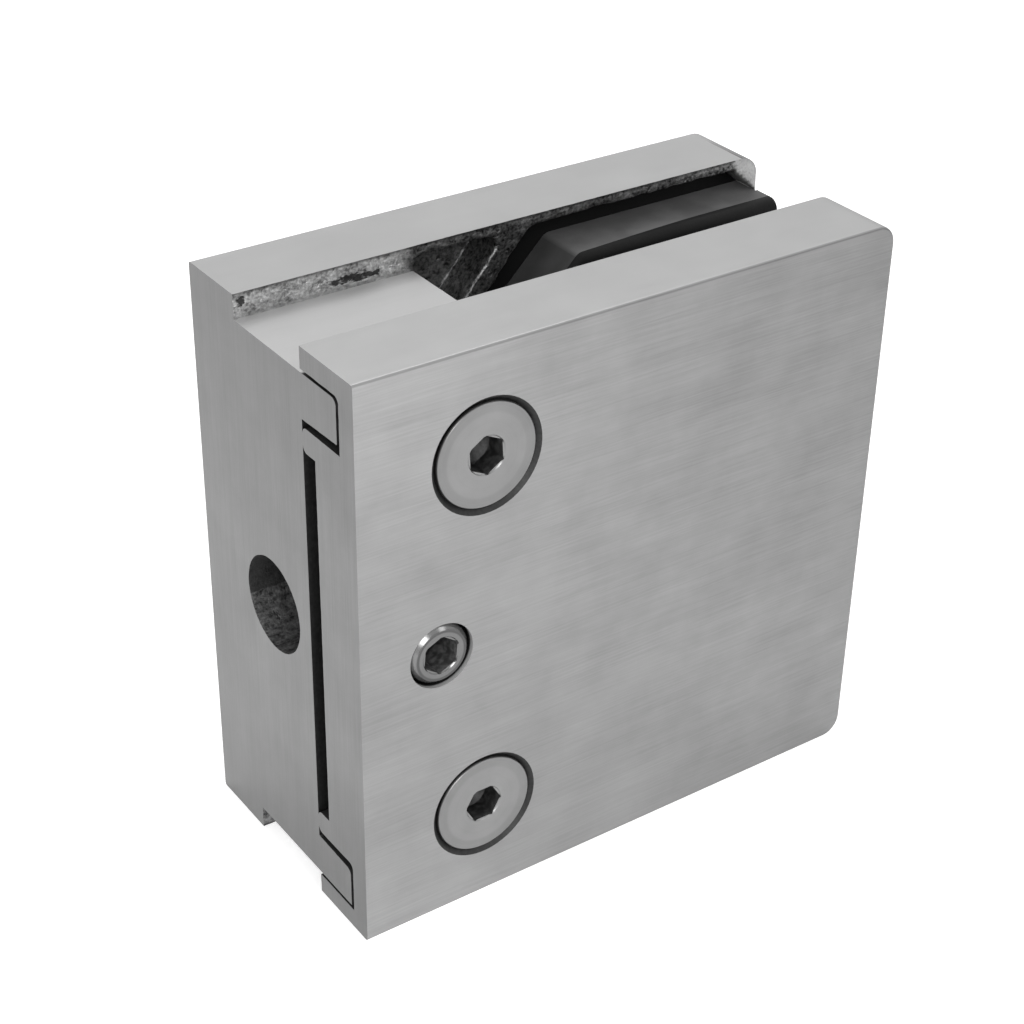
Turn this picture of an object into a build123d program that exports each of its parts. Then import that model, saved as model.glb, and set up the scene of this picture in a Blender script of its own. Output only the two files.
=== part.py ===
"""Square railing clamp that holds the edge of a glass panel beside a post.

A stainless casting carries a back plate and a spine, and a cover plate closes it from the front.
Two countersunk screws draw the cover to the spine, a set screw in the cover bears on the spine,
and a rubber pad in each plate grips the glass.

The origin is the centre of the stud bore on the post face. +X runs from the post into the glass,
+Y runs to the back plate and +Z is up. Sizes are in millimetres.
"""
import os

from build123d import *

os.makedirs("parts", exist_ok=True)

# Overall block
clamp_width = 70.0
clamp_height = 70.0
clamp_depth = 33.4
back_plate_thickness = 9.65
cover_thickness = 10.1
end_corner_radius = 2.4
edge_radius = 0.35

# Spine and its stud bore
spine_width = 21.8
spine_recess = 2.9
bore_radius = 5.7
bore_front_wall = 2.35

# Lugs that hook into the cover
lug_length = 9.0
lug_height = 5.3
lug_draft = 0.25
lug_corner_radius = 0.8
lug_cover_wall = 2.75
lug_front_gap = 0.5
lug_outer_gap = 0.4
lug_inner_gap = 0.8

# Slot behind the cover, between two tongues
tongue_height = 2.9
tongue_corner_radius = 0.8
slot_depth = 2.4
slot_length = 16.0
screw_land_radius = 5.6

# Cast pockets inside both plates
pocket_floor = 5.0
pocket_rim = 1.2
pocket_left = 29.0
pocket_slant_width = 8.2
pocket_slant_height = 9.8
pocket_corner_radius = 1.4
pocket_end_cut_width = 3.8
pocket_end_tuck = 0.2
rib_width = 3.0

# Rubber pads and the gap for the glass
glass_gap = 5.6
pad_side_gap = 0.05
pad_flange_thickness = 1.5
pad_block_left = 34.5
pad_block_margin = 3.1
pad_block_chamfer = 7.0
pad_block_corner_radius = 1.5
pad_edge_radius = 1.3

# Countersunk cover screws, M6
screw_x = 15.6
screw_edge_distance = 12.5
screw_radius = 3.0
screw_length = 20.0
screw_head_radius = 6.05
screw_head_recess = 0.12
screw_head_edge_break = 0.1
screw_tip_chamfer = 0.6
screw_socket_depth = 2.6
countersink_radius = 6.75
countersink_angle = 90.0
screw_clearance_radius = 3.3
tapped_hole_depth = 14.0
upper_socket_turn = 33.0
lower_socket_turn = 0.0

# Set screw, M8, threaded through the cover
set_screw_x = 10.0
set_screw_radius = 3.88
set_screw_face_radius = 3.1
set_screw_point_radius = 2.75
set_screw_recess = 0.05
set_screw_socket_depth = 5.0
set_screw_socket_turn = 25.0

# Both kinds of screw
socket_across_flats = 4.0
socket_mouth_chamfer = 0.12
socket_cone_height = 1.1
thread_gap = 0.05
seat_gap = 0.04

# Planes across the clamp, by their place along Y
cover_inner_y = -bore_radius - bore_front_wall
front_face_y = cover_inner_y - cover_thickness
back_face_y = front_face_y + clamp_depth
plate_inner_y = back_face_y - back_plate_thickness
rear_floor_y = back_face_y - pocket_floor
front_floor_y = front_face_y + pocket_floor
glass_mid_y = (rear_floor_y + front_floor_y) / 2

# Heights above the bore
half_height = clamp_height / 2
spine_top = half_height - spine_recess
lug_inner_z = spine_top - lug_height
lug_pocket_inner_z = lug_inner_z - lug_inner_gap
slot_half_height = lug_pocket_inner_z - tongue_height
pocket_half_height = half_height - pocket_rim
pad_block_half_height = pocket_half_height - pad_block_margin
pocket_open_half_height = pad_block_half_height - pocket_end_tuck
screw_z = half_height - screw_edge_distance


def facing_plane(y):
    """A plane across the clamp at the given depth, drawn in X and Z and facing the front."""
    return Plane.XZ.offset(-y)


def plate_outline():
    """The square outline of either plate."""
    with Locations((clamp_width / 2, 0)):
        Rectangle(clamp_width, clamp_height)


def pad_pocket_outline():
    """The pocket for a pad: slanted at the spine side and open at the far end."""
    upper = [
        (pocket_left, pocket_half_height - pocket_slant_height),
        (pocket_left + pocket_slant_width, pocket_half_height),
        (clamp_width - pocket_end_cut_width, pocket_half_height),
        (clamp_width, pocket_open_half_height),
    ]
    lower = [(x, -z) for x, z in reversed(upper)]
    Polygon(*upper, *lower, align=None)


def relief_outline():
    """The relief beside the spine, which leaves a slanted rib before the pad pocket."""
    upper = [
        (spine_width, pocket_half_height),
        (pocket_left + pocket_slant_width - rib_width, pocket_half_height),
        (pocket_left - rib_width, pocket_half_height - pocket_slant_height),
    ]
    lower = [(x, -z) for x, z in reversed(upper)]
    Polygon(*upper, *lower, align=None)


def cast_pockets(inner_y):
    """The relief and the pad pocket of one plate, drawn on its inner face."""
    with BuildSketch(facing_plane(inner_y)) as pockets:
        relief_outline()
        pad_pocket_outline()
        fillet(vertices().group_by(Axis.X)[:-1], pocket_corner_radius)
    return pockets.sketch


def lug_profile(side):
    """One lug seen on the post face, with the draft that the casting needs; side is 1 above, -1 below."""
    front_y = front_face_y + lug_cover_wall + lug_front_gap
    Polygon(
        (plate_inner_y, side * spine_top),
        (front_y, side * spine_top),
        (front_y, side * (lug_inner_z + lug_draft)),
        (cover_inner_y, side * lug_inner_z),
        (plate_inner_y, side * lug_inner_z),
        align=None,
    )


# Clamp body: back plate, spine and lugs in one casting
with BuildPart() as clamp_body:
    with BuildSketch(facing_plane(back_face_y)):
        plate_outline()
    extrude(amount=back_plate_thickness)
    fillet(clamp_body.edges().filter_by(Axis.Y).group_by(Axis.X)[-1], end_corner_radius)
    back_edges = clamp_body.faces().sort_by(Axis.Y)[-1].edges()
    fillet(back_edges.sort_by(Axis.X)[1:], edge_radius)

    # Spine, set in from the plate's top and bottom
    with BuildSketch(facing_plane(plate_inner_y)):
        with Locations((spine_width / 2, 0)):
            Rectangle(spine_width, 2 * spine_top)
    extrude(amount=plate_inner_y - cover_inner_y)

    # Lugs at both ends of the spine, beside the post
    with BuildSketch(Plane.YZ):
        lug_profile(1)
        lug_profile(-1)
    extrude(amount=lug_length)
    lug_front_edges = clamp_body.edges().filter_by(Axis.X).group_by(Axis.Y)[0]
    fillet(lug_front_edges.sort_by(Axis.Z)[1::2], lug_corner_radius)

    rear_pockets = cast_pockets(plate_inner_y)
    extrude(rear_pockets, amount=plate_inner_y - rear_floor_y, mode=Mode.SUBTRACT)

    # Stud bore through the spine
    with Locations(Plane.YZ.offset(spine_width)):
        Hole(bore_radius, depth=spine_width)

    # Tapped holes for the cover screws
    with Locations(facing_plane(cover_inner_y)):
        with Locations((screw_x, screw_z), (screw_x, -screw_z)):
            Hole(screw_radius + thread_gap, depth=tapped_hole_depth)

clamp_body.part.label = "clamp_body"


# Cover plate, with pockets for the lugs
with BuildPart() as cover_plate:
    with BuildSketch(facing_plane(cover_inner_y)):
        plate_outline()
    extrude(amount=cover_thickness)
    fillet(cover_plate.edges().filter_by(Axis.Y).group_by(Axis.X)[-1], end_corner_radius)
    front_edges = cover_plate.faces().sort_by(Axis.Y)[0].edges()
    fillet(front_edges.sort_by(Axis.X)[1:], edge_radius)

    # Lug pockets, open to the post face
    pocket_height = spine_top + lug_outer_gap - lug_pocket_inner_z
    pocket_middle = lug_pocket_inner_z + pocket_height / 2
    pocket_length = lug_length + lug_front_gap
    lug_pocket_depth = cover_thickness - lug_cover_wall
    with BuildSketch(facing_plane(cover_inner_y)):
        with Locations((pocket_length / 2, pocket_middle), (pocket_length / 2, -pocket_middle)):
            Rectangle(pocket_length, pocket_height)
    extrude(amount=lug_pocket_depth, mode=Mode.SUBTRACT)
    pocket_edges = cover_plate.edges(Select.LAST).filter_by(Axis.X).group_by(Axis.Y)[0]
    fillet(pocket_edges.sort_by(Axis.Z)[1::2], lug_corner_radius)

    # Slot against the spine, which leaves a round land at each cover screw
    with BuildSketch(facing_plane(cover_inner_y)):
        with Locations((slot_length / 2, 0)):
            Rectangle(slot_length, 2 * slot_half_height)
        with Locations((screw_x, screw_z), (screw_x, -screw_z)):
            Circle(screw_land_radius, mode=Mode.SUBTRACT)
    extrude(amount=slot_depth, mode=Mode.SUBTRACT)

    # Rounded ends of the tongues between the slot and the lug pockets
    inner_face_edges = cover_plate.edges().filter_by(Axis.X).group_by(Axis.Y)[-1]
    tongue_edges = inner_face_edges.filter_by_position(
        Axis.Z, -lug_pocket_inner_z, lug_pocket_inner_z
    )
    fillet(tongue_edges, tongue_corner_radius)

    front_pockets = cast_pockets(cover_inner_y)
    extrude(front_pockets, amount=cover_inner_y - front_floor_y, mode=Mode.SUBTRACT)

    # Countersunk holes and the set screw's hole
    with Locations(facing_plane(front_face_y)):
        with Locations((screw_x, screw_z), (screw_x, -screw_z)):
            CounterSinkHole(
                screw_clearance_radius,
                countersink_radius,
                depth=cover_thickness,
                counter_sink_angle=countersink_angle,
            )
        with Locations((set_screw_x, 0)):
            Hole(set_screw_radius + thread_gap, depth=cover_thickness)

cover_plate.part.label = "cover_plate"


def cut_socket(x, face_y, z, depth, turn):
    """Cuts a hexagon socket with a drilled cone at its bottom and a broken mouth."""
    corner_radius = socket_across_flats / 3 ** 0.5
    with BuildSketch(facing_plane(face_y)) as hexagon:
        with Locations((x, z)):
            RegularPolygon(socket_across_flats / 2, 6, major_radius=False, rotation=turn)
    extrude(hexagon.sketch, amount=-depth, mode=Mode.SUBTRACT)
    with Locations(facing_plane(face_y + depth)):
        with Locations((x, z)):
            Cone(
                bottom_radius=0,
                top_radius=socket_across_flats / 2,
                height=socket_cone_height,
                align=(Align.CENTER, Align.CENTER, Align.MAX),
                mode=Mode.SUBTRACT,
            )
    with Locations(facing_plane(face_y)):
        with Locations((x, z)):
            Cone(
                bottom_radius=corner_radius - socket_mouth_chamfer,
                top_radius=corner_radius + socket_mouth_chamfer,
                height=2 * socket_mouth_chamfer,
                mode=Mode.SUBTRACT,
            )


def turned_profile(axis_x, steps):
    """Draws half of a turned section; each step is a radius and a place along Y."""
    outline = [(axis_x + radius, y) for radius, y in steps]
    Polygon((axis_x, steps[0][1]), *outline, (axis_x, steps[-1][1]), align=None)


def cover_screw(z, socket_turn):
    """One countersunk cover screw, seated in the cover at the given height."""
    head_y = front_face_y + screw_head_recess
    rim_y = front_face_y + countersink_radius - screw_head_radius - seat_gap
    neck_y = rim_y + screw_head_radius - screw_radius
    tip_y = head_y + screw_length
    with BuildPart() as screw:
        with BuildSketch(Plane.XY.offset(z)):
            turned_profile(screw_x, [
                (screw_head_radius - screw_head_edge_break, head_y),
                (screw_head_radius, head_y + screw_head_edge_break),
                (screw_head_radius, rim_y),
                (screw_radius, neck_y),
                (screw_radius, tip_y - screw_tip_chamfer),
                (screw_radius - screw_tip_chamfer, tip_y),
            ])
        revolve(axis=Axis((screw_x, 0, z), (0, 1, 0)))
        cut_socket(screw_x, head_y, z, screw_socket_depth, socket_turn)
    return screw.part


cover_screws = {
    "upper_cover_screw": cover_screw(screw_z, upper_socket_turn),
    "lower_cover_screw": cover_screw(-screw_z, lower_socket_turn),
}
for name, screw_part in cover_screws.items():
    screw_part.label = name


# Set screw: flat point on the spine, chamfered socket end just under the cover's face
with BuildPart() as set_screw:
    socket_end_y = front_face_y + set_screw_recess
    with BuildSketch(Plane.XY):
        turned_profile(set_screw_x, [
            (set_screw_face_radius, socket_end_y),
            (set_screw_radius, socket_end_y + set_screw_radius - set_screw_face_radius),
            (set_screw_radius, cover_inner_y - set_screw_radius + set_screw_point_radius),
            (set_screw_point_radius, cover_inner_y),
        ])
    revolve(axis=Axis((set_screw_x, 0, 0), (0, 1, 0)))
    cut_socket(set_screw_x, socket_end_y, 0, set_screw_socket_depth, set_screw_socket_turn)

set_screw.part.label = "set_screw"


# Rear pad: a thin flange that fills the pocket and a block that reaches the glass
with BuildPart() as rear_glass_pad:
    with BuildSketch(facing_plane(rear_floor_y)):
        pad_pocket_outline()
        offset(amount=-pad_side_gap, kind=Kind.INTERSECTION)
        fillet(vertices().group_by(Axis.X)[:-1], pocket_corner_radius)
    extrude(amount=pad_flange_thickness)

    pad_right = clamp_width - pad_side_gap
    pad_thickness = rear_floor_y - glass_mid_y - glass_gap / 2
    with BuildSketch(facing_plane(rear_floor_y - pad_flange_thickness)):
        with Locations(((pad_block_left + pad_right) / 2, 0)):
            Rectangle(pad_right - pad_block_left, 2 * pad_block_half_height)
        chamfer(vertices().sort_by(Axis.X)[:2], pad_block_chamfer)
        fillet(vertices().sort_by(Axis.X)[:4], pad_block_corner_radius)
    extrude(amount=pad_thickness - pad_flange_thickness)
    grip_edges = rear_glass_pad.faces().sort_by(Axis.Y)[0].edges()
    fillet(grip_edges.sort_by(Axis.X)[:-1], pad_edge_radius)

    # The block's far corners are cut back inside the pocket, where its rim turns in
    with BuildSketch(facing_plane(rear_floor_y)):
        for side in (1, -1):
            Polygon(
                (clamp_width - pocket_end_cut_width, side * pocket_half_height),
                (clamp_width, side * pocket_open_half_height),
                (clamp_width, side * pocket_half_height),
                align=None,
            )
        offset(amount=pad_side_gap, kind=Kind.INTERSECTION)
    deeper_pocket = max(rear_floor_y - plate_inner_y, cover_inner_y - front_floor_y)
    extrude(amount=deeper_pocket + pad_side_gap, mode=Mode.SUBTRACT)

rear_glass_pad.part.label = "rear_glass_pad"


# Front pad: the same pad, turned over into the cover
with BuildPart() as front_glass_pad:
    add(mirror(rear_glass_pad.part, about=facing_plane(glass_mid_y)))

front_glass_pad.part.label = "front_glass_pad"


pieces = [
    clamp_body.part,
    cover_plate.part,
    *cover_screws.values(),
    set_screw.part,
    rear_glass_pad.part,
    front_glass_pad.part,
]
for piece in pieces:
    export_step(piece, f"parts/{piece.label}.step")
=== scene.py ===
# %% [markdown]
# A square railing clamp. A stainless casting with a back plate and a spine stands beside a post,
# a cover plate hooks into it and is held by two countersunk screws, a set screw bears on the spine,
# and two rubber pads grip the edge of a glass panel.
#
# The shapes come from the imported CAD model. This script gives them what CAD leaves out: the skin
# of the casting, the ground faces with their grain, the threads, and the light of a small studio.

import math

import bmesh
import bpy
from mathutils import Matrix, Vector, noise


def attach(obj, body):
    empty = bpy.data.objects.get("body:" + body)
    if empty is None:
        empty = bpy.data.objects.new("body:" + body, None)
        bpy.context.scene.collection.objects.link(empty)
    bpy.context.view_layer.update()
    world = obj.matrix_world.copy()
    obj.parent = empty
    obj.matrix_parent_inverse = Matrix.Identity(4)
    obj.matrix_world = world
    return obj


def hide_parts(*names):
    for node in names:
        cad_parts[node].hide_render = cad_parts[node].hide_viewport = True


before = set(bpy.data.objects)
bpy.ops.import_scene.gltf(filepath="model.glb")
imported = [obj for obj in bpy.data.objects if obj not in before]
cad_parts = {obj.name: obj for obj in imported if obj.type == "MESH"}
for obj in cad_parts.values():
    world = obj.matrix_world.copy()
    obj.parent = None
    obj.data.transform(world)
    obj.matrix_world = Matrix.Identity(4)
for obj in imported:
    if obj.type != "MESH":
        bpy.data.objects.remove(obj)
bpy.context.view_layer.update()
mm = 0.001
print("nodes:", sorted(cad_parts))

# %% [markdown]
# The sizes below are the ones that the casting and the screws were modelled with. The finishes need
# them to tell a ground face from a cast one, and the threads need them to sit on their screws.

# %% Sizes of the clamp
clamp_width = 70 * mm
half_height = 35 * mm
end_radius = 2.4 * mm
edge_radius = 0.35 * mm
back_y = 15.25 * mm
front_y = -18.15 * mm
plate_inner_y = 5.6 * mm
seat_y = -8.05 * mm
spine_width = 21.8 * mm
spine_top = 32.1 * mm
glass_mid_y = -1.45 * mm
flange_from_glass = 10.15 * mm
bore_radius = 5.7 * mm
upper_axis = (15.6 * mm, 22.5 * mm)
lower_axis = (15.6 * mm, -22.5 * mm)
set_axis = (10 * mm, 0)
print("depth over both plates:", round((back_y - front_y) / mm, 2), "mm")

# %% [markdown]
# Finishes are node materials. Written out node by node they are long, so a small class stands for
# a socket and takes part in sums: a sum of two values adds a Math node, and a sum of vectors adds
# a Vector Math node. Colours are only ever mixed, because a Math node would turn them grey.

# %% A class that writes shader maths
class Socket:
    """One output of a finish's node tree, usable in arithmetic."""

    def __init__(self, finish, output):
        self.finish, self.output = finish, output

    def joined(self, operation, first, second):
        """A Math or Vector Math node on two values, either of them a number."""
        sockets = [value for value in (first, second) if isinstance(value, Socket)]
        vectors = [socket for socket in sockets if socket.output.type == "VECTOR"]
        kind = "ShaderNodeVectorMath" if vectors else "ShaderNodeMath"
        return self.finish.node(kind, {"operation": operation}, {0: first, 1: second})

    def __add__(self, other):
        return self.joined("ADD", self, other)

    def __radd__(self, other):
        return self.joined("ADD", other, self)

    def __sub__(self, other):
        return self.joined("SUBTRACT", self, other)

    def __rsub__(self, other):
        return self.joined("SUBTRACT", other, self)

    def __mul__(self, other):
        return self.joined("MULTIPLY", self, other)

    def __rmul__(self, other):
        return self.joined("MULTIPLY", other, self)

    def __truediv__(self, other):
        return self.joined("DIVIDE", self, other)

    def __abs__(self):
        return self.finish.node("ShaderNodeMath", {"operation": "ABSOLUTE"}, {0: self})

    def least(self, other):
        return self.joined("MINIMUM", self, other)

    def most(self, other):
        return self.joined("MAXIMUM", self, other)

    def above(self, limit):
        return self.joined("GREATER_THAN", self, limit)

    def ramp(self, low, high, start=0.0, end=1.0):
        """Goes smoothly from start to end while this value goes from low to high."""
        return self.finish.node(
            "ShaderNodeMapRange",
            {"interpolation_type": "SMOOTHSTEP"},
            {"Value": self, "From Min": low, "From Max": high, "To Min": start, "To Max": end},
        )


class Finish:
    """A node material, built up from sockets and put on a Principled shader."""

    def __init__(self, name):
        self.material = bpy.data.materials.new(name)
        self.material.use_nodes = True
        self.tree = self.material.node_tree
        self.shader = self.tree.nodes["Principled BSDF"]
        coordinates = self.tree.nodes.new("ShaderNodeTexCoord")
        self.point = Socket(self, coordinates.outputs["Object"])
        self.normal = Socket(self, coordinates.outputs["Normal"])

    def set(self, target, value):
        """Links a socket to an input, or writes a plain value into it."""
        if isinstance(value, Socket):
            self.tree.links.new(value.output, target)
        elif target.type == "RGBA":
            target.default_value = (*value, 1.0)
        elif target.type == "VECTOR" and isinstance(value, (int, float)):
            target.default_value = (value, value, value)
        else:
            target.default_value = value

    def node(self, kind, settings=None, inputs=None, output=0):
        """Adds any node: its settings first, then the values or links of its sockets."""
        made = self.tree.nodes.new(kind)
        for name, value in (settings or {}).items():
            setattr(made, name, value)
        for key, value in (inputs or {}).items():
            self.set(made.inputs[key], value)
        return Socket(self, made.outputs[output])

    def axes(self, vector):
        """The three parts of a vector."""
        parts = self.node("ShaderNodeSeparateXYZ", {}, {0: vector}).output.node
        return [Socket(self, output) for output in parts.outputs]

    def vector(self, x, y, z):
        """One vector of three values."""
        return self.node("ShaderNodeCombineXYZ", {}, {0: x, 1: y, 2: z})

    def grains(self, vector, scale, detail=2.0, roughness=0.5):
        """Soft random values around 0.5, with as many grains in one unit as the scale says."""
        return self.node(
            "ShaderNodeTexNoise",
            {"noise_dimensions": "3D"},
            {"Vector": vector, "Scale": scale, "Detail": detail, "Roughness": roughness},
        )

    def mix(self, mask, first, second):
        """A colour between two colours."""
        made = self.tree.nodes.new("ShaderNodeMix")
        made.data_type = "RGBA"
        self.set(made.inputs["Factor"], mask)
        self.set(made.inputs[6], first)
        self.set(made.inputs[7], second)
        return Socket(self, made.outputs[2])

    def bumped(self, height, strength, distance):
        """The surface's normal, tilted by a height whose value of 1 stands for the distance."""
        inputs = {"Height": height, "Strength": strength, "Distance": distance}
        return self.node("ShaderNodeBump", {}, inputs)

    def shade(self, **inputs):
        """Sets the shader's sockets; two words are joined by an underscore."""
        for name, value in inputs.items():
            self.set(self.shader.inputs[name.replace("_", " ")], value)
        return self.material


def grey(level):
    """A neutral colour, since nothing on this clamp has a hue."""
    return (level, level, level)


print("shader helpers ready")

# %% [markdown]
# Ground steel. The outer faces of both castings are ground on a belt, so they carry fine straight
# scratches: along the clamp on its front and back, upright on the post face and the far end.
# The scratches are noise stretched along the grain, and the face's own direction picks the grain,
# so that it turns the corner with the surface. A slow cloud of the same noise stands for the places
# where the belt pressed harder.
#
# Each face also has its own tone, and this tone is painted light and shade. The front and back are
# painted darker towards the glass end and towards the top, and paler at the corners beside the post.
# The narrow top and bottom faces are finished finer, so they are calmer, and they are painted paler.
# The post face and the far end are painted darker than the rest, most of all towards their tops and
# bottoms, and the small radius along every edge is painted dull, as painted shade. The spine's top and
# bottom were milled and not ground, so they are a rougher kind of the same finish, painted paler against
# the shade of the back plate, and painted black where the cover hides them, as painted shade.

# %% Ground steel
facing = 0.7
scratches_along, scratches_across = 90, 4200
bands_along, bands_across = 30, 420


def ground_steel(name, level, metallic, roughness, cover_from=None):
    """Steel with a belt-ground grain on each outer face, painted light and shade by face, and painted
    shade where a cover hides it.
    """
    steel = Finish(name)
    x, y, z = steel.axes(steel.point)
    normal_x, normal_y, normal_z = (abs(part) for part in steel.axes(steel.normal))
    on_side, on_front, on_top = (part.above(facing) for part in (normal_x, normal_y, normal_z))
    along = x + on_side * (z - x)
    across = y + on_front * (z - y)
    layer = on_side * 3.7 + on_front * 9.1
    scratched = steel.vector(along * scratches_along, across * scratches_across, layer)
    scratches = steel.grains(scratched, 1.0, 3.0, 0.6)
    bands = steel.grains(steel.vector(along * bands_along, across * bands_across, layer), 1.0, 2.0)
    clouds = steel.grains(steel.point, 120, 4.0, 0.6)

    change = (scratches - 0.5) * 0.42 + (bands - 0.5) * 0.14 + (clouds - 0.5) * 0.42
    # The tone below is painted light and shade: the front and back darker towards the glass end and the
    # top, paler at their corners beside the post; the post face and far end darker, the tops paler.
    to_glass = x.ramp(0, clamp_width, 0.00, -0.24)
    to_top = z.ramp(-half_height, half_height, 0.07, -0.03)
    to_ends = abs(z).ramp(12 * mm, 32 * mm)
    corners = (to_ends * 0.15 - 0.05) * x.ramp(6 * mm, 24 * mm, 1.0, 0.0)
    light_and_shade_by_face = on_front * (to_glass + to_top + corners) - on_side * 0.33 + on_top * 0.20
    tone = (change * (1.0 - on_top * 0.6) + 0.5 + light_and_shade_by_face).least(1.0).most(0.0)
    face_colour = steel.mix(tone, grey(level * 0.58), grey(level * 1.42))

    # The small radius along every edge and the ends of the post face are painted darker, which is
    # painted shade.
    on_edge = normal_x.most(normal_y).most(normal_z).ramp(0.90, 0.995, 1.0, 0.0)
    painted_darker = (on_edge * 0.22).most(on_side * to_ends * 0.18)
    colour = steel.mix(painted_darker, face_colour, grey(level * 0.30))
    if cover_from is not None:
        # Where the cover hides the spine the colour is painted near black, which is painted shade.
        cover_shade = y.ramp(cover_from - 0.6 * mm, cover_from - 0.1 * mm, 1.0, 0.0)
        colour = steel.mix(cover_shade, colour, grey(0.010))
    rough = roughness + (scratches - 0.5) * 0.14 + (clouds - 0.5) * 0.10 + on_edge * 0.25
    normal = steel.bumped(scratches * 0.7 + bands * 0.3, 0.12, 0.03 * mm)
    return steel.shade(Base_Color=colour, Metallic=metallic, Roughness=rough, Normal=normal)


ground = ground_steel("belt_ground_steel", level=0.28, metallic=1.0, roughness=0.40)
# The milled finish is set paler than the ground one, which is painted light against the shade the back
# plate throws on the spine.
milled = ground_steel("milled_spine_steel", level=0.39, metallic=0.35, roughness=0.55, cover_from=seat_y)
print("made", ground.name, "and", milled.name)

# %% [markdown]
# Cast steel. Inside the pockets the casting was never machined and has a dark, gritty skin with pits.
# It is painted paler in the strip above the spine, at its foot and round the far corner, where the skin
# is also smoother, and this paleness is painted light. Along the edges of the slanted rib it is painted
# bright, which is a painted glint. The mesh carries two values of its own for this. One says how near a
# point is to an edge with the painted glint, the other how much painted shade lies there.
# Two shrinkage pits are placed in the strip above the spine, a long one and a small one.

# %% Cast steel
long_pit = ((14.5 * mm, 33.2 * mm), (4.5 * mm, 0.6 * mm))
small_pit = ((0.9 * mm, 34.0 * mm), (0.6 * mm, 0.7 * mm))


def reach_from(x, z, centre, half_size):
    """How far a point lies from an oval's centre: 0 there and 1 on the oval."""
    along, upward = (x - centre[0]) / half_size[0], (z - centre[1]) / half_size[1]
    return along * along + upward * upward


def cast_steel(name):
    """The dark skin of the casting with its pits, and the painted light, painted glint and painted shade
    on it.
    """
    cast = Finish(name)
    rib_glint = cast.node("ShaderNodeAttribute", {"attribute_name": "rib_glint"}, {}, "Fac")
    gap_shade = cast.node("ShaderNodeAttribute", {"attribute_name": "gap_shade"}, {}, "Fac")
    x, y, z = cast.axes(cast.point)
    sand = cast.grains(cast.point, 3000, 3.0, 0.6)
    lumps = cast.grains(cast.vector(x * 900, y * 1500, z * 1500), 1.0, 3.0, 0.6)
    patches = cast.grains(cast.point, 260, 2.0)
    blotches = cast.grains(cast.point, 620, 3.0, 0.6).ramp(0.60, 0.70)
    ragged = cast.grains(cast.vector(x * 1000, y * 1900, z * 1900), 1.0, 4.0, 0.65)
    change = (sand - 0.5) * 1.5 + (lumps - 0.5) * 1.6 + (patches - 0.5) * 0.5
    tone = (change + 0.45).least(1.0).most(0.0)

    # Beside the spine, at the foot of that strip and round the far corner, the skin is painted paler,
    # which is painted light.
    beside_spine = x.ramp(spine_width - 1.6 * mm, spine_width + 0.6 * mm, 1.0, 0.0)
    near_rim = (z - spine_top).ramp(-0.6 * mm, 0.0) * beside_spine
    foot = (z - spine_top).ramp(0.25 * mm, 0.60 * mm, 1.0, 0.0) * near_rim
    far_corner = (x + (lumps - 0.5) * 3 * mm).ramp(clamp_width - 3.6 * mm, clamp_width - 2.8 * mm)
    under_edge = (half_height - abs(z)).ramp(0.10 * mm, 0.45 * mm, 1.0, 0.0)
    # The edges of the slanted rib are painted bright, which is a painted glint.
    glinting = (rib_glint + (lumps - 0.5) * 2.2).ramp(0.55, 0.95)
    # The pits are drawn as dark colour and a dent in the bump, and their darkness is painted shade in
    # the hollow.
    reach = reach_from(x, z, *long_pit).least(reach_from(x, z, *small_pit))
    pit = (reach - (ragged - 0.5) * 3.0).ramp(0.35, 0.75, 1.0, 0.0)

    skin = cast.mix(tone, grey(0.018), grey(0.38))
    paler = cast.mix(tone, grey(0.16), grey(0.82))
    calm = cast.mix(tone, grey(0.27), grey(0.42))
    glint_colour = cast.mix(tone, grey(0.14), grey(0.50))
    paler_by_light = cast.mix(far_corner.most(foot * 0.6), cast.mix(near_rim, skin, paler), calm)
    with_glint = cast.mix(glinting, paler_by_light, glint_colour)
    skinned = 1.0 - far_corner
    spots = blotches * 0.55 * skinned * (1.0 - near_rim * 0.7)
    dark = spots.most(under_edge * 0.6 * skinned).most(pit * 0.9)
    # Where the mesh's shade value is high the colour goes near black, which is painted shade.
    colour = cast.mix(gap_shade, cast.mix(dark, with_glint, grey(0.012)), grey(0.006))
    rough = 0.50 + (sand - 0.5) * 0.25 + gap_shade * 0.25
    normal = cast.bumped(lumps * 0.6 + sand * 0.4 - blotches * 0.4 - pit * 0.6, 0.75, 0.22 * mm)
    return cast.shade(Base_Color=colour, Metallic=1.0 - gap_shade * 0.9, Roughness=rough, Normal=normal)


cast_skin = cast_steel("cast_steel_skin")
print("made", cast_skin.name)

# %% [markdown]
# Turned steel. Screw heads are cut on a lathe, so their marks run in rings round the axis. The
# distance from the axis drives the noise, which draws the rings on a flat head and along a shank
# alike. The outer band of a screw head is painted a little darker than its middle, as painted shade on
# its dished rim. The end of the set screw is polished, and its outer band on the chamfer is painted
# paler, as a painted highlight, and starts at a dark line of painted shade.

# %% Turned steel
def radius_from(finish, axis):
    """A point's distance from an axis that runs from front to back."""
    x, y, z = finish.axes(finish.point)
    from_x, from_z = x - axis[0], z - axis[1]
    squared = from_x * from_x + from_z * from_z
    return finish.node("ShaderNodeMath", {"operation": "SQRT"}, {0: squared})


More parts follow.
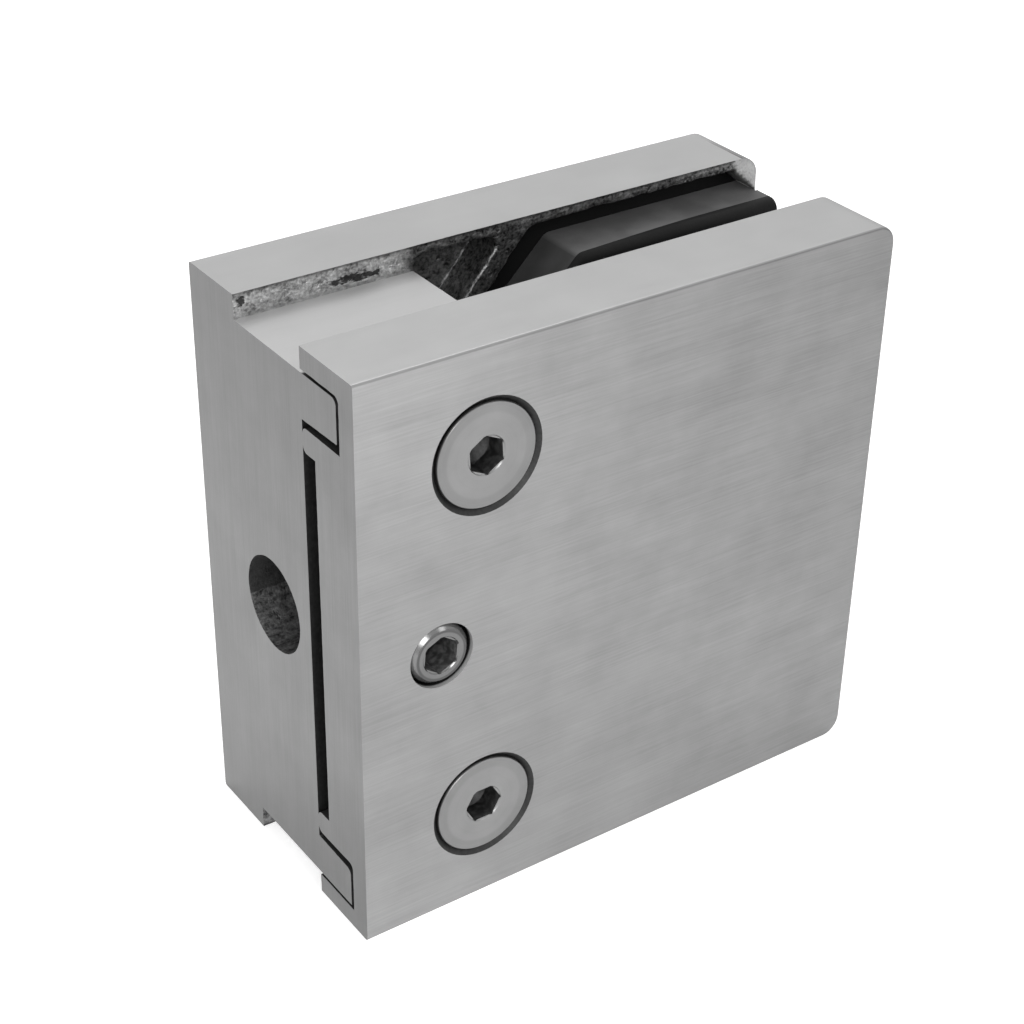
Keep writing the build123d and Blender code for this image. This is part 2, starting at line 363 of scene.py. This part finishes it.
def turned_steel(name, axis, level, roughness, band_from, band_change, line_depth=0.0):
    """Steel with tool marks in rings round one screw's axis, and a band of painted light and shade round
    its edge.
    """
    turned = Finish(name)
    x, y, z = turned.axes(turned.point)
    radius = radius_from(turned, axis)
    rings = turned.grains(turned.vector(radius * 4200, y * 4200, x * 40), 1.0, 3.0, 0.6)
    clouds = turned.grains(turned.point, 300, 3.0)
    band = radius.ramp(band_from, band_from + 0.4 * mm)
    line = abs(radius - band_from).ramp(0.08 * mm, 0.24 * mm, 1.0, 0.0)
    change = (rings - 0.5) * 0.30 + (clouds - 0.5) * 0.5
    tone = (change + 0.55 + band * band_change).least(1.0).most(0.0)
    plain = turned.mix(tone, grey(level * 0.72), grey(level * 1.25))
    colour = turned.mix(line * line_depth, plain, grey(level * 0.30))
    rough = roughness + (rings - 0.5) * 0.16 + (clouds - 0.5) * 0.10
    normal = turned.bumped(rings, 0.10, 0.02 * mm)
    return turned.shade(Base_Color=colour, Metallic=1.0, Roughness=rough, Normal=normal)


# The darker outer band on the heads of the cover screws is painted shade.
head_band = 4.7 * mm
end_band = 2.95 * mm
# The two cover screws are one steel, and the upper one is set darker than the lower one, which is
# painted shade.
upper_turned = turned_steel("turned_upper_screw", upper_axis, 0.225, 0.38, head_band, -0.22)
lower_turned = turned_steel("turned_lower_screw", lower_axis, 0.26, 0.38, head_band, -0.22)
# On the set screw the outer band is painted paler, a painted highlight on the chamfer, and it starts at
# a dark line of painted shade.
set_turned = turned_steel("polished_set_screw", set_axis, 0.17, 0.20, end_band, 0.25, line_depth=0.6)
print("made", upper_turned.name, lower_turned.name, set_turned.name)

# %% [markdown]
# Holes. The countersinks round the screw heads are painted almost black, a ring of painted shade.
# The set screw's hole is painted bright for its first half of a millimetre, a painted highlight, and
# dark below, as painted shade. The faces where the cover lies against the spine are machined too and
# take the same painted shade, so they share this finish, and only the strip that stands clear above
# the spine has a plain pale colour.

# %% Bored holes
def bored_steel(name):
    """Machined steel inside the holes and where the two castings meet."""
    hole = Finish(name)
    x, y, z = hole.axes(hole.point)
    marks = hole.grains(hole.point, 2400, 3.0)
    in_set_hole = radius_from(hole, set_axis).ramp(4.1 * mm, 4.3 * mm, 1.0, 0.0)
    # The set screw's hole is painted bright near its mouth, which is a painted highlight.
    lit_mouth = in_set_hole * (y - front_y).ramp(0.40 * mm, 0.65 * mm, 1.0, 0.0)
    above_spine = (abs(z) - spine_top).ramp(0.1 * mm, 0.5 * mm)
    # The bored faces are painted near black, which is painted shade.
    shaded_dark = hole.mix(marks, grey(0.004), grey(0.034))
    clean = hole.mix(marks, grey(0.16), grey(0.60))
    colour = hole.mix(above_spine, hole.mix(lit_mouth, shaded_dark, grey(0.62)), clean)
    normal = hole.bumped(marks, 0.2, 0.05 * mm)
    return hole.shade(Base_Color=colour, Metallic=0.4, Roughness=0.50 - lit_mouth * 0.2, Normal=normal)


bored = bored_steel("bored_holes")
print("made", bored.name)

# %% [markdown]
# The hexagon sockets are painted almost black, which is painted shade, while the broken edge at their
# mouth keeps the screw's steel. The set screw's socket is painted greyer, which is painted light.
# The pads are moulded rubber: matt black with a fine leathery grain, and painted greyer on the faces
# that look up, which is painted light. That grey ends in a straight line near the glass, the painted
# shadow of the cover.

# %% Oily sockets and rubber
def socket_shade():
    """Punched steel painted near black, as painted shade."""
    shaded = Finish("shaded_socket")
    smears = shaded.grains(shaded.point, 1500, 3.0)
    streaks = smears.ramp(0.35, 0.75)
    # The set screw's socket is painted greyer, which is painted light.
    in_set_screw = radius_from(shaded, set_axis).ramp(3.5 * mm, 4.5 * mm, 1.0, 0.0)
    painted_dark = shaded.mix(streaks, grey(0.008), grey(0.040))
    painted_lighter = shaded.mix(streaks, grey(0.028), grey(0.110))
    colour = shaded.mix(in_set_screw, painted_dark, painted_lighter)
    normal = shaded.bumped(smears, 0.25, 0.05 * mm)
    return shaded.shade(Base_Color=colour, Metallic=0.3, Roughness=0.45 + smears * 0.2, Normal=normal)


def pad_rubber():
    """Black rubber painted greyer on the faces that look up, as painted light, except in the painted
    shadow of the cover.
    """
    rubber = Finish("moulded_rubber")
    x, y, z = rubber.axes(rubber.point)
    upward = rubber.axes(rubber.normal)[2]
    grain = rubber.grains(rubber.point, 3200, 3.0, 0.6)
    smudges = rubber.grains(rubber.point, 240, 3.0)
    from_glass = abs(y - glass_mid_y)
    # The grey on the faces that look up is painted light, and it stops at a straight line near the
    # glass, the painted shadow of the cover.
    shadow_line = x.ramp(38 * mm, 60 * mm, 3.7 * mm, 4.5 * mm)
    outside_shadow = (from_glass - shadow_line).above(0.0) * (flange_from_glass - from_glass).above(0.0)
    painted_lighter = outside_shadow * upward.ramp(0.45, 0.98) * smudges.ramp(0.30, 0.75, 0.70, 1.0)
    black = rubber.mix(grain, grey(0.005), grey(0.011))
    colour = rubber.mix(painted_lighter, black, grey(0.165))
    normal = rubber.bumped(grain * 0.6 + smudges * 0.4, 0.20, 0.05 * mm)
    rough = 0.66 + (smudges - 0.5) * 0.2
    return rubber.shade(Base_Color=colour, Roughness=rough, Normal=normal, Specular_IOR_Level=0.15)


shaded_socket = socket_shade()
moulded_rubber = pad_rubber()
print("made", shaded_socket.name, "and", moulded_rubber.name)

# %% [markdown]
# The casting itself. The CAD solid has smooth pockets and ruler-straight rims, and no bump map can
# give a rim a ragged outline. So both castings are copied, their cast faces are sliced into cells of
# half a millimetre, and every point of them is pushed along its normal by noise. Points on the border
# of a ground face only move within that face, because grinding comes after casting.

# %% Copy a solid
same_point = 0.001 * mm
same_plane = math.radians(0.3)


def merged_copy(node):
    """A copy of a CAD node whose loose triangles share their corners."""
    shape = bmesh.new()
    shape.from_mesh(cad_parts[node].data)
    bmesh.ops.remove_doubles(shape, verts=shape.verts, dist=same_point)
    return shape


def whole_faces(shape, name):
    """Joins the triangles of each flat face into one face."""
    bmesh.ops.dissolve_limit(
        shape,
        angle_limit=same_plane,
        verts=shape.verts,
        edges=shape.edges,
        use_dissolve_boundaries=False,
    )
    print(name, "starts with", len(shape.faces), "faces")


def radius_of(point, axis):
    """A mesh point's distance from an axis that runs from front to back."""
    return math.hypot(point.x - axis[0], point.z - axis[1])


print("two points closer than", same_point / mm, "mm are one point")

# %% [markdown]
# Which finish a face gets follows from where it lies. A face that looks out of the square outline, or
# lies in the front or back, was ground. A face close round a screw's axis was drilled, and the faces
# where the two castings meet share its finish. The flat top and bottom of the spine were milled, and
# what is left is as it was cast.

# %% Sort the faces
kinds = {"ground": 0, "milled": 1, "bored": 2, "cast": 3}
on_plane = 0.01 * mm
drilled = (
    (upper_axis, 6.8 * mm),
    (lower_axis, 6.8 * mm),
    (set_axis, 3.95 * mm),
)
tapped_radius = 3.2 * mm
seat_past_spine = 4 * mm


def outline_depth(point):
    """How far a point lies inside the square outline, and which way is out."""
    side = 1 if point.z > 0 else -1
    past_x = point.x - (clamp_width - end_radius)
    past_z = abs(point.z) - (half_height - end_radius)
    if past_x > 0 and past_z > 0:
        outward = Vector((past_x, 0, side * past_z)).normalized()
        return end_radius - math.hypot(past_x, past_z), outward
    choices = [
        (point.x, Vector((-1, 0, 0))),
        (clamp_width - point.x, Vector((1, 0, 0))),
        (half_height - abs(point.z), Vector((0, 0, side))),
    ]
    return min(choices, key=lambda choice: choice[0])


def sort_of(face, outer_y):
    """Says whether a face of a casting is ground, milled, bored or cast."""
    centre, normal = face.calc_center_median(), face.normal
    for axis, radius in drilled:
        reach = max(radius_of(vert.co, axis) for vert in face.verts)
        in_hole = abs(centre.y - outer_y) > on_plane and not abs(normal.y) > 0.99
        if (reach < radius and in_hole) or reach < tapped_radius:
            return "bored"
    if abs(centre.y - outer_y) < edge_radius and abs(normal.y) > 0.3:
        return "ground"
    depth, outward = outline_depth(centre)
    if depth < edge_radius and normal.dot(outward) > 0.3:
        return "ground"
    on_spine = abs(abs(centre.z) - spine_top) < on_plane and centre.x < spine_width
    if on_spine and abs(normal.z) > 0.9 and centre.y < plate_inner_y:
        return "milled"
    in_seat = abs(centre.y - seat_y) < on_plane and abs(normal.y) > 0.99
    if in_seat and centre.x < spine_width + seat_past_spine:
        return "bored"
    return "cast"


print("finishes of a casting:", ", ".join(kinds))

# %% [markdown]
# Slicing by halves. Cutting a whole mesh with 140 planes one after the other handles every face 140
# times. Cutting it in the middle, and then each half by itself, handles a face about seven times.

# %% Slice the cast faces into small cells
cell = 0.5 * mm
cut_box = ((0, clamp_width), (-19 * mm, 16 * mm), (-half_height, half_height))


def sliced(shape, faces, axis, first, last):
    """Cuts faces along one axis at every whole cell between two cell numbers."""
    if last - first < 2 or not faces:
        return faces
    middle = (first + last) // 2
    place, direction = Vector(), Vector()
    place[axis] = middle * cell
    direction[axis] = 1
    edges = {edge for face in faces for edge in face.edges}
    borders = edges | {vert for face in faces for vert in face.verts}
    everything = list(faces) + list(borders)
    cut = bmesh.ops.bisect_plane(shape, geom=everything, plane_co=place, plane_no=direction, dist=1e-7)
    found = [item for item in cut["geom"] if isinstance(item, bmesh.types.BMFace)]
    below = [face for face in found if face.calc_center_median()[axis] < place[axis]]
    above = [face for face in found if face.calc_center_median()[axis] >= place[axis]]
    return sliced(shape, below, axis, first, middle) + sliced(shape, above, axis, middle, last)


def slice_cast_faces(shape, marks):
    """Slices every face with the cast mark along all three axes."""
    faces = [face for face in shape.faces if face[marks] == kinds["cast"]]
    for axis, (low, high) in enumerate(cut_box):
        faces = sliced(shape, faces, axis, round(low / cell), round(high / cell))


print("cast faces are cut into cells of", cell / mm, "mm")

# %% [markdown]
# Roughening. Two sizes of noise give grit and a slow swell. Sharp edges lose a little more, as if
# they were chipped, and the two edges of the slanted rib get a painted glint. Painted shade has its own
# value: it fills the slot behind the cover and the lug gaps, and lies in the side bore, thickest in
# its upper half and lighter in its lower half, which is painted light.

# %% Push the cast points about
rib_zone = (spine_width + mm, 40 * mm)
rib_start = (29 * mm, 24 * mm)
rib_slant = 8.2 / 9.8
sharp_angle = 0.6


def on_rib(edge):
    """How bright a painted glint an edge of the slanted rib gets, brightest on the edge beside the pad.
    """
    first, second = (vert.co for vert in edge.verts)
    direction = (second - first).normalized()
    if not (rib_zone[0] < first.x < rib_zone[1] and abs(direction.z) > 0.3):
        return 0.0
    beside_pad = rib_start[0] + (abs(first.z) - rib_start[1]) * rib_slant
    return 1.0 if first.x > beside_pad - 1.5 * mm else 0.55


def is_sharp(edge):
    """Whether an edge stands out from the casting."""
    return len(edge.link_faces) == 2 and edge.calc_face_angle_signed(0) > sharp_angle


def pushed(place, offset, bordered, sharp):
    """How far noise moves a point outwards: little at a ground face, inwards at a sharp edge."""
    grit = noise.fractal(place * 0.9 + offset, 0.9, 2.0, 3, noise_basis="PERLIN_ORIGINAL")
    swell = noise.noise(place * 0.22 + offset)
    if bordered:
        return 0.035 * grit * mm
    push = (0.060 * grit + 0.040 * swell) * mm
    if sharp:
        chip = max(0.0, noise.noise(place * 0.55 + offset * 1.7) + 0.1)
        push -= (0.03 + 0.26 * chip) * mm
    return push


def roughened(shape, marks, glint_values, gap_shades, seed):
    """Moves the cast points by noise and writes both of their values."""
    offset = Vector((seed, 2.0 * seed, 3.0 * seed))
    moves = {}
    for vert in shape.verts:
        cast = [face for face in vert.link_faces if face[marks] == kinds["cast"]]
        fixed = [face for face in vert.link_faces if face[marks] != kinds["cast"]]
        if not cast or any(face[marks] == kinds["bored"] for face in fixed):
            continue
        outward = sum((face.normal for face in cast), Vector())
        if outward.length < 1e-6:
            continue
        sharp = [edge for edge in vert.link_edges if is_sharp(edge)]
        move = outward.normalized() * pushed(vert.co / mm, offset, fixed, sharp)
        for face in fixed:
            move -= face.normal * move.dot(face.normal)
        moves[vert] = move
        vert[glint_values] = max((on_rib(edge) for edge in sharp), default=0.0)
    for vert, move in moves.items():
        vert.co += move
    soften(shape, glint_values)
    for vert in moves:
        vert[gap_shades] = gap_shade_at(vert.co)
    furthest = max(move.length for move in moves.values())
    print("  moved", len(moves), "points, the furthest by", round(furthest / mm, 3), "mm")


def soften(shape, glint_values):
    """Lets the painted glint value fade over the neighbouring points."""
    for fading in (0.55, 0.35):
        spread = {}
        for vert in shape.verts:
            near = max((edge.other_vert(vert)[glint_values] for edge in vert.link_edges), default=0)
            spread[vert] = max(vert[glint_values], near * fading)
        for vert, value in spread.items():
            vert[glint_values] = value


def gap_shade_at(point):
    """How much painted shade a point gets: 1 in the slot behind the cover and in the lug gaps, less in
    the side bore.
    """
    behind_cover = abs(point.z) < spine_top + 0.6 * mm and point.y < seat_y + 0.5 * mm
    if behind_cover and point.x < spine_width - mm:
        return 1.0
    # In the side bore the painted shade is lighter in the lower half, which is painted light where light
    # falls.
    if math.hypot(point.y, point.z) < bore_radius * 1.1 and point.x < spine_width + mm:
        return 0.93 if point.z > -1.5 * mm else 0.40
    return 0.0


# %% [markdown]
# The two copies are finished the same way. Large flat faces are shaded flat and everything else
# smoothly, which keeps the ground faces truly flat right up to the small radius along their edges.

# %% Build both castings
def casting(node, name, outer_y, seed):
    """A finished copy of one casting, with its outer face at a given depth."""
    shape = merged_copy(node)
    whole_faces(shape, name)
    marks = shape.faces.layers.int.new("sort")
    glint_values = shape.verts.layers.float.new("rib_glint")
    gap_shades = shape.verts.layers.float.new("gap_shade")
    for face in shape.faces:
        face[marks] = kinds[sort_of(face, outer_y)]
    slice_cast_faces(shape, marks)
    shape.normal_update()
    roughened(shape, marks, glint_values, gap_shades, seed)
    shape.normal_update()
    shape.faces.index_update()
    smooth = []
    for face in shape.faces:
        face.material_index = face[marks]
        flat = max(abs(part) for part in face.normal) > 0.9999
        smooth.append(face[marks] == kinds["cast"] or not flat)
    mesh = bpy.data.meshes.new(name)
    shape.to_mesh(mesh)
    shape.free()
    mesh.set_sharp_from_angle(angle=math.radians(50))
    mesh.polygons.foreach_set("use_smooth", smooth)
    for material in (ground, milled, bored, cast_skin):
        mesh.materials.append(material)
    piece = bpy.data.objects.new(name, mesh)
    bpy.context.scene.collection.objects.link(piece)
    print(" ", name, "has", len(mesh.polygons), "faces")
    return piece


body_casting = casting("clamp_body", "body_casting", back_y, 3.1)
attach(body_casting, "body")
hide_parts("clamp_body")
cover_casting = casting("cover_plate", "cover_casting", front_y, 7.7)
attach(cover_casting, "cover")
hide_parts("cover_plate")

# %% [markdown]
# Screws. The CAD screws have plain shanks at the thread's outer size. A thread is one profile that
# follows a helix, which is what Geometry Nodes do well: a spiral, a small trapezoid swept along it,
# and a radius that fades at both ends where a real thread runs out. The shank of a copied screw is
# thinned to the root of the thread, and the ridge is wound round it.

# %% A node tree that winds a thread
def thread_tree():
    """The tree's inputs are the thread's sizes and its finish."""
    tree = bpy.data.node_groups.new("wound_thread", "GeometryNodeTree")
    panel = tree.interface
    sizes = (("Root Radius", 2.4 * mm), ("Height", 0.6 * mm), ("Pitch", mm), ("Length", 12 * mm))
    for name, default in sizes:
        size = panel.new_socket(name=name, in_out="INPUT", socket_type="NodeSocketFloat")
        size.default_value = default
    panel.new_socket(name="Finish", in_out="INPUT", socket_type="NodeSocketMaterial")
    panel.new_socket(name="Geometry", in_out="OUTPUT", socket_type="NodeSocketGeometry")
    nodes, links = tree.nodes, tree.links
    given = nodes.new("NodeGroupInput")
    result = nodes.new("NodeGroupOutput")

    def maths(operation, first, second):
        """A Math node on two values, either of them a number."""
        made = nodes.new("ShaderNodeMath")
        made.operation = operation
        for place, value in zip(made.inputs, (first, second)):
            if isinstance(value, bpy.types.NodeSocket):
                links.new(value, place)
            else:
                place.default_value = value
        return made.outputs[0]

    pitch, length = given.outputs["Pitch"], given.outputs["Length"]
    turns = maths("DIVIDE", length, pitch)
    spiral = nodes.new("GeometryNodeCurveSpiral")
    spiral.inputs["Resolution"].default_value = 36
    links.new(turns, spiral.inputs["Rotations"])
    links.new(length, spiral.inputs["Height"])
    for end in ("Start Radius", "End Radius"):
        links.new(given.outputs["Root Radius"], spiral.inputs[end])
    upright = nodes.new("GeometryNodeSetCurveNormal")
    upright.mode = "Z_UP"
    links.new(spiral.outputs[0], upright.inputs["Curve"])

    share = nodes.new("GeometryNodeSplineParameter").outputs["Factor"]
    to_end = maths("MINIMUM", share, maths("SUBTRACT", 1.0, share))
    turns_from_end = maths("MULTIPLY", to_end, turns)
    fade = maths("MINIMUM", maths("ADD", maths("MULTIPLY", turns_from_end, 0.9), 0.15), 1.0)

    profile = nodes.new("GeometryNodeCurvePrimitiveQuadrilateral")
    profile.mode = "TRAPEZOID"
    profile.inputs["Offset"].default_value = 0.0
    links.new(maths("MULTIPLY", pitch, 0.86), profile.inputs["Bottom Width"])
    links.new(maths("MULTIPLY", pitch, 0.14), profile.inputs["Top Width"])
    links.new(maths("MULTIPLY", given.outputs["Height"], 1.1), profile.inputs["Height"])
    lifted = nodes.new("GeometryNodeTransform")
    lifted.inputs["Rotation"].default_value = (0, 0, math.radians(90))
    shift = nodes.new("ShaderNodeCombineXYZ")
    links.new(maths("MULTIPLY", given.outputs["Height"], -0.45), shift.inputs[0])
    links.new(profile.outputs[0], lifted.inputs["Geometry"])
    links.new(shift.outputs[0], lifted.inputs["Translation"])

    sweep = nodes.new("GeometryNodeCurveToMesh")
    sweep.inputs["Fill Caps"].default_value = True
    links.new(upright.outputs[0], sweep.inputs["Curve"])
    links.new(lifted.outputs[0], sweep.inputs["Profile Curve"])
    links.new(fade, sweep.inputs["Scale"])
    real = nodes.new("GeometryNodeRealizeInstances")
    links.new(sweep.outputs[0], real.inputs[0])
    painted = nodes.new("GeometryNodeSetMaterial")
    links.new(real.outputs[0], painted.inputs["Geometry"])
    links.new(given.outputs["Finish"], painted.inputs["Material"])
    links.new(painted.outputs[0], result.inputs[0])
    return tree


wound_thread = thread_tree()
print("thread tree has", len(wound_thread.nodes), "nodes")

# %% Wind a thread round a copied screw
def thread_ridge(root, height, pitch, length, finish):
    """A plain mesh of one thread along +Z, starting at the origin."""
    holder = bpy.data.objects.new("thread", bpy.data.meshes.new("thread"))
    bpy.context.scene.collection.objects.link(holder)
    wind = holder.modifiers.new("wind", "NODES")
    wind.node_group = wound_thread
    values = {"Root Radius": root, "Height": height, "Pitch": pitch, "Length": length}
    values["Finish"] = finish
    for item in wound_thread.interface.items_tree:
        if item.name in values:
            wind[item.identifier] = values[item.name]
    evaluated = holder.evaluated_get(bpy.context.evaluated_depsgraph_get())
    mesh = bpy.data.meshes.new_from_object(evaluated)
    bpy.data.objects.remove(holder)
    return mesh


thread_depth = 0.6134
socket_radius, socket_depth = 2.6 * mm, 7 * mm


def thin_shank(shape, axis, start_y, root):
    """Brings every point of the shank that stands further out in to the root of the thread."""
    for vert in shape.verts:
        away = Vector((vert.co.x - axis[0], 0, vert.co.z - axis[1]))
        if vert.co.y > start_y - on_plane and away.length > root:
            vert.co -= away.normalized() * (away.length - root)
    shape.normal_update()


def mark_socket(shape, axis):
    """Gives the walls and floor of the hexagon socket the second material."""
    head_y = min(vert.co.y for vert in shape.verts)
    for face in shape.faces:
        reach = max(radius_of(vert.co, axis) for vert in face.verts)
        depth = face.calc_center_median().y - head_y
        broken_edge = depth < 0.5 * mm and abs(face.normal.y) > 0.3
        inside = reach < socket_radius and 0.02 * mm < depth < socket_depth
        face.material_index = 1 if inside and not broken_edge else 0


def screw_with_thread(node, name, axis, finish, outer, pitch, start_y, end_y):
    """Copies a CAD screw, thins its shank and adds the thread between two depths."""
    height = thread_depth * pitch
    root = outer - height
    shape = merged_copy(node)
    thin_shank(shape, axis, start_y, root)
    mark_socket(shape, axis)
    core = bpy.data.meshes.new(name)
    shape.to_mesh(core)
    shape.free()
    ridge = thread_ridge(root, height, pitch, end_y - start_y, finish)
    laid_back = Matrix.Rotation(math.radians(-90), 4, "X")
    ridge.transform(Matrix.Translation((axis[0], start_y, axis[1])) @ laid_back)
    both = bmesh.new()
    both.from_mesh(core)
    both.from_mesh(ridge)
    both.to_mesh(core)
    both.free()
    core.set_sharp_from_angle(angle=math.radians(35))
    core.polygons.foreach_set("use_smooth", [abs(face.normal.y) < 0.999 for face in core.polygons])
    core.materials.append(finish)
    core.materials.append(shaded_socket)
    piece = bpy.data.objects.new(name, core)
    bpy.context.scene.collection.objects.link(piece)
    reach = max(radius_of(vert.co, axis) for vert in ridge.vertices)
    print(name, "faces", len(core.polygons), "thread reaches radius", round(reach / mm, 3), "mm")
    return piece


cover_thread = {"outer": 3.0 * mm, "pitch": 1.0 * mm, "start_y": -13.9 * mm, "end_y": 1.5 * mm}
set_thread = {"outer": 3.88 * mm, "pitch": 1.25 * mm, "start_y": -17.25 * mm, "end_y": -8.9 * mm}
screw_plans = (
    ("upper_cover_screw", "upper_screw_threaded", "upper_screw", upper_axis, upper_turned),
    ("lower_cover_screw", "lower_screw_threaded", "lower_screw", lower_axis, lower_turned),
    ("set_screw", "set_screw_threaded", "set_screw", set_axis, set_turned),
)
for node, name, body, axis, finish in screw_plans:
    thread = set_thread if node == "set_screw" else cover_thread
    screw = screw_with_thread(node, name, axis, finish, **thread)
    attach(screw, body)
    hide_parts(node)

# %% [markdown]
# The pads keep their CAD shape, which already has the moulded chamfers and rounded grip edges.

# %% Dress the pads
for node in ("rear_glass_pad", "front_glass_pad"):
    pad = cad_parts[node]
    pad.data.materials.clear()
    pad.data.materials.append(moulded_rubber)
print("pads dressed")

# %% [markdown]
# The floor and what surrounds it. The clamp stands on a pale floor and is white all round. Camera,
# glossy and transmission rays see the same white background, so that the steel reflects what the
# picture shows, while the rays that carry light find the surroundings half as bright. The floor still
# takes the clamp's soft shadow.

# %% Floor
background_rays = ("Is Camera Ray", "Is Glossy Ray", "Is Transmission Ray")


def pale_floor():
    """A matt floor that glows only for the rays that see the background."""
    floor = Finish("pale_floor")
    speckle = floor.grains(floor.point, 900, 3.0)
    colour = floor.mix(speckle, grey(0.86), grey(0.90))
    rays = floor.node("ShaderNodeLightPath").output.node.outputs
    camera_ray, glossy_ray, through_ray = (Socket(floor, rays[name]) for name in background_rays)
    seen = camera_ray.most(glossy_ray).most(through_ray)
    glow = floor.mix(seen, grey(0.0), grey(1.0))
    floor.shade(Base_Color=colour, Roughness=0.9, Specular_IOR_Level=0.1)
    return floor.shade(Emission_Color=glow, Emission_Strength=0.55)


bpy.ops.mesh.primitive_plane_add(size=6, location=(0, 0, -half_height))
floor = bpy.context.object
floor.name = "floor"
floor.data.materials.append(pale_floor())
print("floor ready")

# %% Surroundings
world = bpy.data.worlds.new("studio")
bpy.context.scene.world = world
world.use_nodes = True
nodes, links = world.node_tree.nodes, world.node_tree.links
rays = nodes.new("ShaderNodeLightPath")
seen = rays.outputs[background_rays[0]]
for kind in background_rays[1:]:
    either = nodes.new("ShaderNodeMath")
    either.operation = "MAXIMUM"
    links.new(seen, either.inputs[0])
    links.new(rays.outputs[kind], either.inputs[1])
    seen = either.outputs[0]
strength = nodes.new("ShaderNodeMapRange")
strength.inputs["To Min"].default_value = 0.5
strength.inputs["To Max"].default_value = 1.0
links.new(seen, strength.inputs["Value"])
surroundings = nodes["Background"]
surroundings.inputs["Color"].default_value = (1, 1, 1, 1)
links.new(strength.outputs[0], surroundings.inputs["Strength"])
print("surroundings ready")

# %% [markdown]
# Four lamps. A broad soft one high behind the clamp lights its top faces. Three small ones in front
# give the broad face its fall of light from the post side to the glass side, and put the glints on
# the edges of the screws. The camera has the photograph's angle, and its directions are written as
# three arrows: to the right, forward and up.

# %% Lamps
def soft_lamp(name, place, target, size, watts):
    """A square lamp that faces a target."""
    lamp = bpy.data.lights.new(name, "AREA")
    lamp.shape = "SQUARE"
    lamp.size = size
    lamp.energy = watts
    holder = bpy.data.objects.new(name, lamp)
    bpy.context.scene.collection.objects.link(holder)
    holder.location = place
    to_target = Vector(target) - Vector(place)
    holder.rotation_euler = to_target.to_track_quat("-Z", "Y").to_euler()


middle = (0.035, 0, 0)
soft_lamp("behind_light", (0.60, 0.85, 1.70), middle, size=1.2, watts=12.8)
soft_lamp("left_light", (-0.30, -0.45, 0.35), middle, size=0.25, watts=1.4)
soft_lamp("front_light", (-0.02, -0.50, 0.00), middle, size=0.20, watts=1.3)
soft_lamp("right_light", (0.55, -0.60, 0.75), middle, size=0.3, watts=0.7)
print("lamps:", len(bpy.data.lights))

# %% Camera
camera_data = bpy.data.cameras.new("camera")
camera_data.lens = 74.74
camera_data.sensor_width = 36
camera = bpy.data.objects.new("camera", camera_data)
bpy.context.scene.collection.objects.link(camera)
camera_place = Vector((-0.0893, -0.17175, 0.1298))
right = Vector((0.823, -0.5678, 0.0145)).normalized()
forward = Vector((0.4905, 0.6977, -0.5222)).normalized()
up = right.cross(forward)
turn = Matrix((right, up, -forward)).transposed()
camera.matrix_world = Matrix.Translation(camera_place) @ turn.to_4x4()
bpy.context.scene.camera = camera
bpy.context.scene.view_settings.view_transform = "Standard"
print("camera looks along", [round(v, 3) for v in forward])
